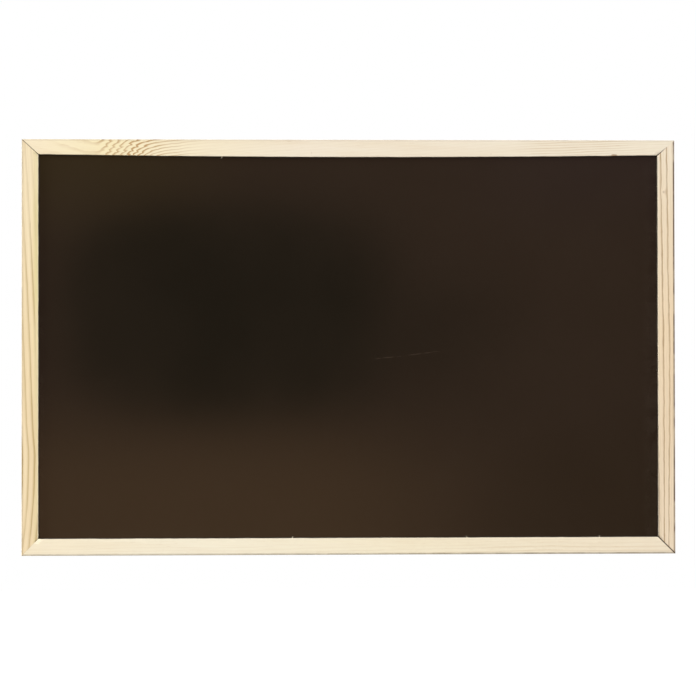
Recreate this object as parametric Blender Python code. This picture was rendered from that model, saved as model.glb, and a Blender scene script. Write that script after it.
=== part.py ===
"""Wall chalkboard: a mitred pine frame round a black writing sheet, hung on two swinging rings.

Metres, +Z up. The board faces -Y and hangs on the wall plane y = 0. The origin is on that
plane, midway between the two wall hooks that the raised rings drop over.
"""

import math

import bmesh
import bpy
from mathutils import Matrix, Vector

# Pine frame: four battens with a rebate behind, cut at 45 degrees and closed at the mitres
BOARD_WIDTH = 0.630
BOARD_HEIGHT = 0.400
FACE_WIDTH = 0.015
BATTEN_DEPTH = 0.015
LIP_DEPTH = 0.005
REBATE_WIDTH = 0.0045
TOP_SIGHT_CROWN = 0.0022
FRONT_ARRIS = 0.0008
BACK_ARRIS = 0.0004
MITRE_GAP = 0.0003
CROWN_STATIONS = 17

# Panel: the black sheet lies on a hardboard backing, and both drop into the rebate from behind
SHEET_THICKNESS = 0.0008
BACKING_THICKNESS = 0.0027
PANEL_SIDE_CLEARANCE = 0.0006

# Framer's points: flat steel tabs shot into the rebate wall, which hold the panel from behind
POINT_WIDTH = 0.006
POINT_THICKNESS = 0.0005
POINT_IN_WOOD = 0.005
POINT_OVER_PANEL = 0.008
POINT_LIFTED_LENGTH = 0.003
POINT_LIFT = 0.0007
POINT_TAPER = 0.003
POINT_TIP_WIDTH = 0.0012
POINTS_ON_RAIL = 4
POINTS_ON_STILE = 3

# Mitre nails: folded V-shaped wedges driven into each corner from behind
NAILS_AT_CORNER = 2
NAIL_WING = 0.0032
NAIL_HALF_ANGLE = math.radians(42)
NAIL_THICKNESS = 0.0005
NAIL_HEIGHT = 0.008
NAIL_SINK = 0.0003

# Hangers: a folded strap, a D-shaped wire ring that swings in its fold, and one screw
HANGER_DROP = 0.030
HANGER_SHIFT = 0.00155
RING_WIDTH = 0.013
RING_WIRE = 0.0018
RING_SIDE = 0.0045
RING_CORNER = 0.0016
STRAP_WIDTH = 0.007
STRAP_THICKNESS = 0.0008
STRAP_TAB = 0.018
STRAP_END_ROUND = 0.0022
STRAP_NECK = 0.0030
FOLD_CLEARANCE = 0.00025
SCREW_DROP = 0.012
SCREW_LENGTH = 0.010
SCREW_DIAMETER = 0.0026
SCREW_ROOT = 0.0018
SCREW_PITCH = 0.0012
SCREW_POINT = 0.0022
SCREW_HEAD = 0.005
SCREW_HEAD_HEIGHT = 0.0014
RECESS_SPAN = 0.0027
RECESS_SLOT = 0.0007
RECESS_DEPTH = 0.0009

# Wall pads: low rubber stops that hold the bottom as far off the wall as the hangers hold the top
PAD_DIAMETER = 0.009
PAD_FACE = 0.0078
PAD_RISE = 0.026
PAD_ROUND = 0.0006

# Fits
SEAT_GAP = 0.0003
POCKET_CLEARANCE = 0.0003
WALL_CLEARANCE = 0.0003
CUTTER_OVERRUN = 0.002

# Facets
ARC_STEPS = 5
BACK_ARC_STEPS = 2
WIRE_ARC_STEPS = 8
SCREW_SIDES = 16
SCREW_RINGS_PER_PITCH = 6
ROUND_SIDES = 24
SHARP_ANGLE = math.radians(35)

# Worked out from the sizes above. Depths are measured from the frame's back face, and
# what lies in front of that face is negative.
LAND = FACE_WIDTH - REBATE_WIDTH
FRAME_FRONT = -BATTEN_DEPTH
SHEET_FRONT = FRAME_FRONT + LIP_DEPTH + SEAT_GAP
BACKING_FRONT = SHEET_FRONT + SHEET_THICKNESS + SEAT_GAP
PANEL_BACK = BACKING_FRONT + BACKING_THICKNESS
PANEL_WIDTH = BOARD_WIDTH - 2 * (LAND + PANEL_SIDE_CLEARANCE)
PANEL_HEIGHT = BOARD_HEIGHT - 2 * (LAND + PANEL_SIDE_CLEARANCE)
POINT_MIDDLE = PANEL_BACK + SEAT_GAP + POINT_THICKNESS / 2

WIRE_RADIUS = RING_WIRE / 2
RING_HALF = (RING_WIDTH - RING_WIRE) / 2
RING_REACH = RING_SIDE + RING_HALF
FOLD_RADIUS = WIRE_RADIUS + FOLD_CLEARANCE + STRAP_THICKNESS / 2
STRAP_UNDER = SEAT_GAP + STRAP_THICKNESS / 2
STRAP_OVER = STRAP_UNDER + STRAP_THICKNESS + SEAT_GAP
PIVOT_DEPTH = STRAP_UNDER + FOLD_RADIUS
SCREW_SEAT = STRAP_OVER + STRAP_THICKNESS / 2 + SEAT_GAP
REST_LEAN = math.asin((PIVOT_DEPTH - WIRE_RADIUS - SEAT_GAP) / RING_REACH)
HANGER_X = BOARD_WIDTH / 2 - LAND / 2 - HANGER_SHIFT
PIVOT_Z = BOARD_HEIGHT / 2 - HANGER_DROP

WALL_STANDOFF = PIVOT_DEPTH + FOLD_RADIUS + STRAP_THICKNESS / 2 + WALL_CLEARANCE
HOOK_Z = PIVOT_Z + (RING_REACH - WIRE_RADIUS) * math.cos(REST_LEAN)

# Colours are linear
PINE = ("pine", (0.86, 0.75, 0.54), 0.55, 0.0)
CHALK_BLACK = ("chalk_black", (0.022, 0.016, 0.011), 0.5, 0.0)
HARDBOARD = ("hardboard", (0.24, 0.13, 0.065), 0.7, 0.0)
ZINC = ("zinc_plate", (0.62, 0.62, 0.60), 0.32, 1.0)
STEEL = ("bright_steel", (0.50, 0.49, 0.47), 0.4, 1.0)
PAD_RUBBER = ("pad_rubber", (0.55, 0.54, 0.50), 0.6, 0.0)


def material(finish):
    """The finish's material, made once."""
    name, colour, roughness, metallic = finish
    made = bpy.data.materials.get(name)
    if made is None:
        made = bpy.data.materials.new(name)
        made.use_nodes = True
        shader = made.node_tree.nodes["Principled BSDF"]
        shader.inputs["Base Color"].default_value = (*colour, 1.0)
        shader.inputs["Roughness"].default_value = roughness
        shader.inputs["Metallic"].default_value = metallic
    return made


def placed(obj, place, turn):
    """Parents an object to the board, at a place measured from the middle of its back."""
    obj.parent = bpy.data.objects["board"]
    obj.location = place
    obj.rotation_euler = turn
    return obj


def object_of(name, shape):
    """An object that holds a bmesh, with its faces turned outwards."""
    bmesh.ops.recalc_face_normals(shape, faces=shape.faces)
    mesh = bpy.data.meshes.new(name)
    shape.to_mesh(mesh)
    shape.free()
    return bpy.data.objects.new(name, mesh)


def piece(name, shape, finish, place=(0, 0, 0), turn=(0, 0, 0)):
    """A named piece of the board from a bmesh."""
    made = object_of(name, shape)
    made.data.materials.append(material(finish))
    made.data.shade_smooth()
    made.data.set_sharp_from_angle(angle=SHARP_ANGLE)
    bpy.context.scene.collection.objects.link(made)
    return placed(made, place, turn)


def pocket(shape, owners, place=(0, 0, 0), turn=(0, 0, 0)):
    """Cuts a bmesh out of the pieces that it is let into."""
    cutter = object_of("cutter_of_" + owners[0].name, shape)
    cutter.hide_render = True
    cutter.display_type = "WIRE"
    placed(cutter, place, turn)
    for owner in owners:
        name = "pockets_of_" + owner.name
        pockets = bpy.data.collections.get(name)
        if pockets is None:
            pockets = bpy.data.collections.new(name)
            bpy.context.scene.collection.children.link(pockets)
            cut = owner.modifiers.new("pockets", "BOOLEAN")
            cut.operation = "DIFFERENCE"
            cut.solver = "EXACT"
            cut.operand_type = "COLLECTION"
            cut.collection = pockets
        pockets.objects.link(cutter)


def filleted(corners, steps, closed):
    """A flat path through (a, b, radius) corners, with an arc at each corner that has a radius."""
    path = []
    count = len(corners)
    for index, (a, b, radius) in enumerate(corners):
        corner = Vector((a, b))
        if radius == 0 or (not closed and index in (0, count - 1)):
            path.append(corner)
            continue
        before = (Vector(corners[index - 1][:2]) - corner).normalized()
        after = (Vector(corners[(index + 1) % count][:2]) - corner).normalized()
        half = before.angle(after) / 2
        centre = corner + (before + after).normalized() * (radius / math.sin(half))
        start = corner + before * (radius / math.tan(half)) - centre
        sweep = start.angle_signed(corner + after * (radius / math.tan(half)) - centre)
        for step in range(steps + 1):
            path.append(centre + Matrix.Rotation(-sweep * step / steps, 2) @ start)
    return path


def ribbon(path, thickness):
    """The closed outline of a strip of even thickness along a flat path."""
    left, right = [], []
    for index, point in enumerate(path):
        before = path[max(index - 1, 0)]
        after = path[min(index + 1, len(path) - 1)]
        into = (point - before).normalized() if index > 0 else (after - point).normalized()
        out = (after - point).normalized() if index < len(path) - 1 else into
        normal = Vector((-(into + out).y, (into + out).x)).normalized()
        stretch = normal.dot(Vector((-into.y, into.x)))
        left.append(point + normal * (thickness / 2 / stretch))
        right.append(point - normal * (thickness / 2 / stretch))
    return left + right[::-1]


def prism(outline, width):
    """A bmesh of a flat (y, z) outline, extruded along X to a width that is centred on x = 0."""
    shape = bmesh.new()
    face = shape.faces.new([shape.verts.new((-width / 2, y, z)) for y, z in outline])
    grown = bmesh.ops.extrude_face_region(shape, geom=[face])["geom"]
    moved = [part for part in grown if isinstance(part, bmesh.types.BMVert)]
    bmesh.ops.translate(shape, verts=moved, vec=(width, 0, 0))
    return shape


def box(low, high):
    """A bmesh box between two corners."""
    low, high = Vector(low), Vector(high)
    shape = bmesh.new()
    bmesh.ops.create_cube(shape, size=1)
    bmesh.ops.scale(shape, verts=shape.verts, vec=high - low)
    bmesh.ops.translate(shape, verts=shape.verts, vec=(low + high) / 2)
    return shape


def turned(stations, radius_at, sides):
    """A bmesh closed round the local Z axis: radius_at(station, angle) gives each ring's radii."""
    shape = bmesh.new()
    rings = []
    for station in stations:
        ring = []
        for side in range(sides):
            angle = 2 * math.pi * side / sides
            radius, height = radius_at(station, angle)
            ring.append(shape.verts.new((radius * math.cos(angle), radius * math.sin(angle), height)))
        rings.append(ring)
    for low, high in zip(rings, rings[1:]):
        for side in range(sides):
            after = (side + 1) % sides
            shape.faces.new((low[side], low[after], high[after], high[side]))
    shape.faces.new(rings[0][::-1])
    shape.faces.new(rings[-1])
    return shape


def batten_section():
    """(distance in from the outer edge, depth, whether it is on the sight edge) round a batten."""
    front = filleted(
        [(0, LIP_DEPTH, 0), (0, 0, FRONT_ARRIS), (FACE_WIDTH, 0, FRONT_ARRIS), (FACE_WIDTH, LIP_DEPTH, 0)],
        ARC_STEPS,
        False,
    )
    back = filleted(
        [(LAND, LIP_DEPTH, 0), (LAND, BATTEN_DEPTH, BACK_ARRIS), (0, BATTEN_DEPTH, BACK_ARRIS), (0, LIP_DEPTH, 0)],
        BACK_ARC_STEPS,
        False,
    )
    return [(point.x, point.y, point.x > LAND + REBATE_WIDTH / 2) for point in front + back[:-1]]


def batten(name, length, place, turn, crown=0.0):
    """One mitred frame bar along local X, its outer edge at z = 0 and its sight edge below it."""
    shape = bmesh.new()
    stations = CROWN_STATIONS if crown else 2
    mitre_relief = MITRE_GAP / math.sqrt(2)
    loops = []
    for station in range(stations):
        along = 2 * station / (stations - 1) - 1
        bow = crown * (1 - along**2)
        loop = []
        for inward, depth, on_sight_edge in batten_section():
            x = along * (length / 2 - inward - mitre_relief)
            z = -inward - (bow if on_sight_edge else 0)
            loop.append(shape.verts.new((x, FRAME_FRONT + depth, z)))
        loops.append(loop)
    for near, far in zip(loops, loops[1:]):
        for index in range(len(near)):
            after = (index + 1) % len(near)
            shape.faces.new((near[index], near[after], far[after], far[index]))
    shape.faces.new(loops[0])
    shape.faces.new(loops[-1][::-1])
    return piece(name, shape, PINE, place, (0, turn, 0))


def frame():
    """The four battens, by side, each with its outer edge on the board's outline."""
    half_width, half_height = BOARD_WIDTH / 2, BOARD_HEIGHT / 2
    quarter = math.pi / 2
    return {
        "top": batten("top_rail", BOARD_WIDTH, (0, 0, half_height), 0, TOP_SIGHT_CROWN),
        "right": batten("right_stile", BOARD_HEIGHT, (half_width, 0, 0), quarter),
        "bottom": batten("bottom_rail", BOARD_WIDTH, (0, 0, -half_height), 2 * quarter),
        "left": batten("left_stile", BOARD_HEIGHT, (-half_width, 0, 0), -quarter),
    }


def panel():
    """The black writing sheet and the hardboard that backs it."""
    half = Vector((PANEL_WIDTH / 2, 0, PANEL_HEIGHT / 2))
    for name, front, thickness, finish in (
        ("writing_sheet", SHEET_FRONT, SHEET_THICKNESS, CHALK_BLACK),
        ("backing_board", BACKING_FRONT, BACKING_THICKNESS, HARDBOARD),
    ):
        low = Vector((0, front, 0)) - half
        high = Vector((0, front + thickness, 0)) + half
        piece(name, box(low, high), finish)


def framers_point():
    """A point along local Z: its tip is in the wood above z = 0, and its free end lifts off the panel."""
    path = [
        Vector((0, POINT_IN_WOOD)),
        Vector((0, POINT_IN_WOOD - POINT_TAPER)),
        Vector((0, -POINT_OVER_PANEL + POINT_LIFTED_LENGTH)),
        Vector((POINT_LIFT, -POINT_OVER_PANEL)),
    ]
    shape = prism(ribbon(path, POINT_THICKNESS), POINT_WIDTH)
    for vertex in shape.verts:
        if vertex.co.z > POINT_IN_WOOD - POINT_TAPER / 2:
            vertex.co.x *= POINT_TIP_WIDTH / POINT_WIDTH
    return shape


def panel_points(battens):
    """Framer's points along each side, with their slots in the rebate wall."""
    slot_high = Vector((POINT_WIDTH / 2, POINT_THICKNESS / 2, POINT_IN_WOOD))
    slot_high += Vector((POCKET_CLEARANCE,) * 3)
    slot_low = Vector((-slot_high.x, -slot_high.y, -CUTTER_OVERRUN))
    wall_x, wall_z = BOARD_WIDTH / 2 - LAND, BOARD_HEIGHT / 2 - LAND
    for side, count, turn, wall, run in (
        ("top", POINTS_ON_RAIL, 0, Vector((0, 0, wall_z)), Vector((2 * wall_x, 0, 0))),
        ("bottom", POINTS_ON_RAIL, math.pi, Vector((0, 0, -wall_z)), Vector((2 * wall_x, 0, 0))),
        ("left", POINTS_ON_STILE, -math.pi / 2, Vector((-wall_x, 0, 0)), Vector((0, 0, 2 * wall_z))),
        ("right", POINTS_ON_STILE, math.pi / 2, Vector((wall_x, 0, 0)), Vector((0, 0, 2 * wall_z))),
    ):
        for index in range(count):
            place = wall + run * ((index + 0.5) / count - 0.5)
            place.y = POINT_MIDDLE
            name = f"panel_point_{side}_{index + 1}"
            piece(name, framers_point(), STEEL, place, (0, turn, 0))
            pocket(box(slot_low, slot_high), [battens[side]], place, (0, turn, 0))


def nail_shape(clearance):
    """A V-nail standing along Y, its fold towards local +Z, grown by a clearance all round."""
    wing = NAIL_WING + clearance
    across, along = wing * math.sin(NAIL_HALF_ANGLE), wing * math.cos(NAIL_HALF_ANGLE)
    fold = Vector((0, clearance))
    path = [fold + Vector((-across, -along)), fold, fold + Vector((across, -along))]
    shape = prism(ribbon(path, NAIL_THICKNESS + 2 * clearance), NAIL_HEIGHT)
    bmesh.ops.rotate(shape, verts=shape.verts, matrix=Matrix.Rotation(math.pi / 2, 3, "Z"))
    return shape


def mitre_nails(battens):
    """The V-nails across each mitre, evenly spaced over the flat land behind it."""
    cell = LAND * math.sqrt(2) / NAILS_AT_CORNER
    length = NAIL_WING * math.cos(NAIL_HALF_ANGLE)
    for rail, stile, x_sign, z_sign in (
        ("top", "left", -1, 1),
        ("top", "right", 1, 1),
        ("bottom", "left", -1, -1),
        ("bottom", "right", 1, -1),
    ):
        corner = Vector((x_sign * BOARD_WIDTH / 2, 0, z_sign * BOARD_HEIGHT / 2))
        inward = Vector((-x_sign, 0, -z_sign)).normalized()
        turn = (0, math.atan2(-inward.x, -inward.z), 0)
        for index in range(NAILS_AT_CORNER):
            place = corner + inward * ((index + 0.5) * cell - length / 2)
            place.y = -NAIL_SINK - NAIL_HEIGHT / 2
            piece(f"mitre_nail_{rail}_{stile}_{index + 1}", nail_shape(0), STEEL, place, turn)
            cutter = nail_shape(POCKET_CLEARANCE)
            for vertex in cutter.verts:
                deep = vertex.co.y < 0
                vertex.co.y += -POCKET_CLEARANCE if deep else CUTTER_OVERRUN
            pocket(cutter, [battens[rail], battens[stile]], place, turn)


def strap_shape():
    """A strip folded round the ring's bar, the two tabs lying on each other below it."""
    fold_top = STRAP_UNDER + 2 * FOLD_RADIUS
    path = filleted(
        [
            (STRAP_UNDER, -STRAP_TAB, 0),
            (STRAP_UNDER, FOLD_RADIUS, FOLD_RADIUS),
            (fold_top, FOLD_RADIUS, FOLD_RADIUS),
            (fold_top, -STRAP_NECK / 3, STRAP_NECK / 4),
            (STRAP_OVER, -STRAP_NECK, STRAP_NECK / 4),
            (STRAP_OVER, -STRAP_TAB, 0),
        ],
        ARC_STEPS,
        False,
    )
    shape = prism(ribbon(path, STRAP_THICKNESS), STRAP_WIDTH)
    end_corners = [
        edge
        for edge in shape.edges
        if all(vertex.co.z < -STRAP_TAB + SEAT_GAP for vertex in edge.verts)
        and edge.verts[0].co.x == edge.verts[1].co.x
    ]
    bmesh.ops.bevel(shape, geom=end_corners, offset=STRAP_END_ROUND, segments=ARC_STEPS, affect="EDGES", profile=0.5)
    return shape


def ring(name, place):
    """A D of round wire, its straight bar on the swing axis, leaning back on the stile."""
    bar = RING_HALF
    path = filleted(
        [
            (-bar, 0, RING_CORNER),
            (bar, 0, RING_CORNER),
            (bar, RING_REACH, RING_HALF),
            (-bar, RING_REACH, RING_HALF),
        ],
        WIRE_ARC_STEPS,
        True,
    )
    wire = bpy.data.curves.new(name, "CURVE")
    wire.dimensions = "3D"
    wire.bevel_depth = WIRE_RADIUS
    wire.bevel_resolution = 2
    spline = wire.splines.new("POLY")
    points = [p for i, p in enumerate(path) if (p - path[i - 1]).length > WIRE_RADIUS / 10]
    spline.points.add(len(points) - 1)
    for slot, point in zip(spline.points, points):
        slot.co = (point.x, 0, point.y, 1)
    spline.use_cyclic_u = True
    wire.materials.append(material(ZINC))
    made = bpy.data.objects.new(name, wire)
    bpy.context.scene.collection.objects.link(made)
    return placed(made, place, (REST_LEAN, 0, 0))


def screw_radius(height, angle):
    """(radius, height) of the threaded shank: a ridge winds up it, and it tapers to a point."""
    turns = height / SCREW_PITCH - angle / (2 * math.pi)
    ridge = max(0.0, 1 - abs(2 * (turns % 1) - 1) * 2)
    radius = (SCREW_ROOT + (SCREW_DIAMETER - SCREW_ROOT) * ridge) / 2
    taper = min(1.0, (height + SCREW_LENGTH) / SCREW_POINT)
    return radius * max(taper, 0.08), height


def screw_shape():
    """A pan-head wood screw along local Z, its head's underside at z = 0."""
    rings = math.ceil(SCREW_LENGTH / SCREW_PITCH * SCREW_RINGS_PER_PITCH)
    stations = [-SCREW_LENGTH + SCREW_LENGTH * index / rings for index in range(rings)]
    head = filleted(
        [
            (SCREW_HEAD / 2, 0, 0),
            (SCREW_HEAD / 2, SCREW_HEAD_HEIGHT, SCREW_HEAD_HEIGHT * 0.7),
            (SCREW_HEAD / 6, SCREW_HEAD_HEIGHT, 0),
        ],
        ARC_STEPS,
        False,
    )

    def radius_at(station, angle):
        if isinstance(station, Vector):
            return station
        return screw_radius(station, angle)

    return turned([*stations, Vector((SCREW_ROOT / 2, 0)), *head], radius_at, SCREW_SIDES)


def recess_shape():
    """The tapered cross that a driver fits, open at the top of the screw's head."""
    arm, half = RECESS_SPAN / 2, RECESS_SLOT / 2
    quadrant = [Vector((arm, half)), Vector((half, half)), Vector((half, arm))]
    shape = bmesh.new()
    outline = []
    for quarter in range(4):
        spin = Matrix.Rotation(math.pi / 2 * quarter, 2)
        outline += [shape.verts.new((*(spin @ point), CUTTER_OVERRUN)) for point in quadrant]
    face = shape.faces.new(outline)
    grown = bmesh.ops.extrude_face_region(shape, geom=[face])["geom"]
    tip = [part for part in grown if isinstance(part, bmesh.types.BMVert)]
    bmesh.ops.translate(shape, verts=tip, vec=(0, 0, -CUTTER_OVERRUN - RECESS_DEPTH))
    bmesh.ops.scale(shape, verts=tip, vec=(0.5, 0.5, 1))
    return shape


def drill(diameter, length):
    """A round cutter along local Z, from a little above z = 0 down to the length."""
    shape = bmesh.new()
    depth = length + CUTTER_OVERRUN
    bmesh.ops.create_cone(
        shape, cap_ends=True, segments=ROUND_SIDES, radius1=diameter / 2, radius2=diameter / 2, depth=depth
    )
    bmesh.ops.translate(shape, verts=shape.verts, vec=(0, 0, CUTTER_OVERRUN - depth / 2))
    return shape


def hangers(battens):
    """A strap, its swinging ring and its screw on the back of each stile."""
    towards_wall = (-math.pi / 2, 0, 0)
    hole = SCREW_DIAMETER + 2 * POCKET_CLEARANCE
    for side, x in (("left", -HANGER_X), ("right", HANGER_X)):
        strap = piece(f"hanger_strap_{side}", strap_shape(), ZINC, (x, 0, PIVOT_Z))
        ring(f"hanger_ring_{side}", (x, PIVOT_DEPTH, PIVOT_Z))
        seat = Vector((x, SCREW_SEAT, PIVOT_Z - SCREW_DROP))
        screw = piece(f"hanger_screw_{side}", screw_shape(), ZINC, seat, towards_wall)
        crown = seat + Vector((0, SCREW_HEAD_HEIGHT, 0))
        pocket(recess_shape(), [screw], crown, towards_wall)
        pocket(drill(hole, SCREW_LENGTH + POCKET_CLEARANCE), [strap, battens[side]], seat, towards_wall)


def wall_pads():
    """The rubber stops on the back of the stiles, near the bottom."""
    thickness = WALL_STANDOFF - SEAT_GAP
    for side, sign in (("left", -1), ("right", 1)):
        shape = bmesh.new()
        bmesh.ops.create_cone(
            shape,
            cap_ends=True,
            segments=ROUND_SIDES,
            radius1=PAD_DIAMETER / 2,
            radius2=PAD_FACE / 2,
            depth=thickness,
        )
        rim = [edge for edge in shape.edges if all(vertex.co.z > 0 for vertex in edge.verts)]
        bmesh.ops.bevel(shape, geom=rim, offset=PAD_ROUND, segments=2, affect="EDGES", profile=0.5)
        place = Vector((sign * (BOARD_WIDTH / 2 - LAND / 2), SEAT_GAP + thickness / 2, -BOARD_HEIGHT / 2 + PAD_RISE))
        piece(f"wall_pad_{side}", shape, PAD_RUBBER, place, (-math.pi / 2, 0, 0))


def main():
    for old in list(bpy.data.objects):
        bpy.data.objects.remove(old)
    board = bpy.data.objects.new("board", None)
    board.location = (0, -WALL_STANDOFF, -HOOK_Z)
    bpy.context.scene.collection.objects.link(board)
    battens = frame()
    panel()
    panel_points(battens)
    mitre_nails(battens)
    hangers(battens)
    wall_pads()


main()
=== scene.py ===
"""Looks of the wall chalkboard: bare pine, a worn writing surface, hardboard and zinc-plated steel."""

import math
from contextlib import contextmanager

import bmesh
import bpy
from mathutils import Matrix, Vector


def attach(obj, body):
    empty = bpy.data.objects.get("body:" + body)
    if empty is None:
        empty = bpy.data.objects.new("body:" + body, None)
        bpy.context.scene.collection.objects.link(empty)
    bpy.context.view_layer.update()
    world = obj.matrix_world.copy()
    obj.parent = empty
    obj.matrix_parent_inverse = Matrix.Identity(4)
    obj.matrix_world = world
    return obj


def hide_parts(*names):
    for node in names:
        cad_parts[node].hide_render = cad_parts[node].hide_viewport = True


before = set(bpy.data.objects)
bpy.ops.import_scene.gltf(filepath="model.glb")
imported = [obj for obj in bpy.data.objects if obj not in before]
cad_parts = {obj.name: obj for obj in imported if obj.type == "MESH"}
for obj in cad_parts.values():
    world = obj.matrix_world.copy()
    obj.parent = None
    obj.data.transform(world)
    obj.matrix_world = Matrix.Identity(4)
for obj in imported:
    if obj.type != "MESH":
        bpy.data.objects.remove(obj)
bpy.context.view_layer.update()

# Sizes and places, in metres, in the CAD model's frame
BOARD_WIDTH = 0.630
BOARD_HEIGHT = 0.400
BATTEN_DEPTH = 0.015
LIP_DEPTH = 0.005
TOP_SIGHT_CROWN = 0.0022
FRONT_Y = -0.0195
BACK_Y = FRONT_Y + BATTEN_DEPTH
MIDDLE_Z = -0.1791502
HALF_WIDTH = BOARD_WIDTH / 2
TOP_Z = MIDDLE_Z + BOARD_HEIGHT / 2
BOTTOM_Z = MIDDLE_Z - BOARD_HEIGHT / 2

# Each batten's planed width at its ends, and the share of it that the rebate leaves at the back
PLANED = {"top": 0.0145, "bottom": 0.0162, "left": 0.0159, "right": 0.0166}
LAND_SHARE = 0.66

# Which way each batten's outer edge looks, as X and Z
OUTWARD = {"top": (0, 1), "bottom": (0, -1), "left": (-1, 0), "right": (1, 0)}

# One pixel of the photograph, on the front of the board
PIXEL = 0.000964
PHOTO_MIDDLE_X = 347.6
PHOTO_MIDDLE_Y = 347.0


def across(column):
    """The X of a column of pixels."""
    return (column - PHOTO_MIDDLE_X) * PIXEL


def height(row):
    """The Z of a row of pixels."""
    return MIDDLE_Z + (PHOTO_MIDDLE_Y - row) * PIXEL


# Shader maths
class Value:
    """A socket whose arithmetic adds Math nodes to its material."""

    def __init__(self, finish, socket):
        self.finish = finish
        self.socket = socket

    def math(self, operation, *others):
        inputs = dict(enumerate((self, *others)))
        return self.finish.node("ShaderNodeMath", {"operation": operation}, inputs)

    def __add__(self, other):
        return self.math("ADD", other)

    __radd__ = __add__

    def __mul__(self, other):
        return self.math("MULTIPLY", other)

    __rmul__ = __mul__

    def __sub__(self, other):
        return self.math("SUBTRACT", other)

    def __rsub__(self, other):
        return self.math("MULTIPLY_ADD", -1.0, other)

    def __truediv__(self, other):
        return self.math("DIVIDE", other)

    def __pow__(self, power):
        return self.math("POWER", power)


class Nodes:
    """A node tree, with short ways to add to it."""

    def __init__(self, tree):
        self.tree = tree

    def node(self, kind, settings, inputs, output=0):
        """Adds a node: its settings first, then the values or links of its sockets."""
        made = self.tree.nodes.new(kind)
        for name, setting in settings.items():
            if name == "stops":
                ramp = made.color_ramp
                while len(ramp.elements) < len(setting):
                    ramp.elements.new(0.5)
                for element, (position, colour) in zip(ramp.elements, setting):
                    element.position = position
                    element.color = colour
            else:
                setattr(made, name, setting)
        for name, given in inputs.items():
            self.plug(made.inputs[name], given)
        return Value(self, made.outputs[output])

    def plug(self, socket, given):
        """Links a Value to a socket, or sets its number or colour."""
        if isinstance(given, Value):
            self.tree.links.new(given.socket, socket)
        elif socket.type == "RGBA" and len(given) == 3:
            socket.default_value = (*given, 1.0)
        else:
            socket.default_value = given

    def place(self, kind="Object"):
        """Object coordinates, which are the CAD frame's, unless another kind is asked for."""
        return self.node("ShaderNodeTexCoord", {}, {}, kind)

    def seen_straight(self):
        """One for what the camera sees, also in a mirror or through glass, and nought for light."""
        path = self.node("ShaderNodeLightPath", {}, {}, "Is Camera Ray")
        outputs = path.socket.node.outputs
        mirrored = Value(self, outputs["Is Glossy Ray"])
        return path.math("MAXIMUM", mirrored).math("MAXIMUM", Value(self, outputs["Is Transmission Ray"]))

    def axes(self, vector):
        """The three parts of a vector."""
        made = self.node("ShaderNodeSeparateXYZ", {}, {0: vector})
        return [Value(self, socket) for socket in made.socket.node.outputs]

    def stretched(self, vector, scale, turn=(0, 0, 0), shift=(0, 0, 0)):
        """A vector scaled and turned, for a pattern that runs longer one way."""
        return self.node(
            "ShaderNodeMapping",
            {},
            {"Vector": vector, "Scale": scale, "Rotation": turn, "Location": shift},
        )

    def noise(self, vector, scale=1.0, detail=2.0, roughness=0.5):
        """Soft noise, with so many patches per metre."""
        return self.node(
            "ShaderNodeTexNoise",
            {},
            {"Vector": vector, "Scale": scale, "Detail": detail, "Roughness": roughness},
        )

    def cells(self, vector, scale):
        """Distance from the nearest scattered point."""
        return self.node("ShaderNodeTexVoronoi", {"feature": "F1"}, {"Vector": vector, "Scale": scale})

    def step(self, value, low, high, to_low=0.0, to_high=1.0):
        """A smooth step of a value between two levels."""
        return self.node(
            "ShaderNodeMapRange",
            {"interpolation_type": "SMOOTHSTEP"},
            {"Value": value, 1: low, 2: high, 3: to_low, 4: to_high},
        )

    def mix(self, share, one, two):
        """A colour between two colours."""
        return self.node("ShaderNodeMix", {"data_type": "RGBA"}, {0: share, 6: one, 7: two}, 2)

    def bump(self, level, strength, distance):
        """Small relief, for the shader's Normal."""
        return self.node(
            "ShaderNodeBump", {}, {"Height": level, "Strength": strength, "Distance": distance}
        )


class Finish(Nodes):
    """A material built from nodes round one Principled shader."""

    def __init__(self, name):
        self.material = bpy.data.materials.new(name)
        self.material.use_nodes = True
        super().__init__(self.material.node_tree)
        self.shader = self.tree.nodes["Principled BSDF"]

    def set(self, **sockets):
        """Sets the shader's own sockets, named with underscores."""
        for name, given in sockets.items():
            self.plug(self.shader.inputs[name.replace("_", " ").title().replace("Ior", "IOR")], given)

    def surface(self, shader):
        """Puts another shader in the Principled shader's place."""
        self.plug(self.tree.nodes["Material Output"].inputs["Surface"], shader)


# Pine, whose figure is worked out in millimetres
MM_PER_METRE = 1000
LATE_WOOD = (0.50, 0.29, 0.11)
FIBRE_TINT = (0.66, 0.47, 0.25)
PALE_FIBRE = (1.0, 0.95, 0.82)
KNOT_BROWN = (0.21, 0.085, 0.03)
MITRE_BROWN = (0.055, 0.028, 0.012)
# Painted shade along each batten's outer edge, where the rounded arris turns away from the light
OUTER_EDGE_SHADE = (0.12, 0.075, 0.045)
OUTER_SHADE_REACH = 0.0021
# Painted highlight along each batten's sight edge
SIGHT_EDGE_HIGHLIGHT = (1.0, 0.93, 0.74)
SIGHT_HIGHLIGHT_REACH = 0.0016
# Painted shade on the lips' inner sides, where they meet the writing surface
LIP_SHADE = (0.022, 0.014, 0.009)
LIP_SHADE_BEGINS = 0.0012
LIP_SHADE_FULL = 0.0004

# Each mitre's dark line: how strong it is at its inner and at its outer end, and its half width
MITRE_LINES = {
    ("top", "left"): (0.95, 0.85, 0.00042),
    ("top", "right"): (1.0, -0.5, 0.00058),
    ("bottom", "left"): (0.04, 0.10, 0.00042),
    ("bottom", "right"): (1.0, 1.0, 0.00072),
}


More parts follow.
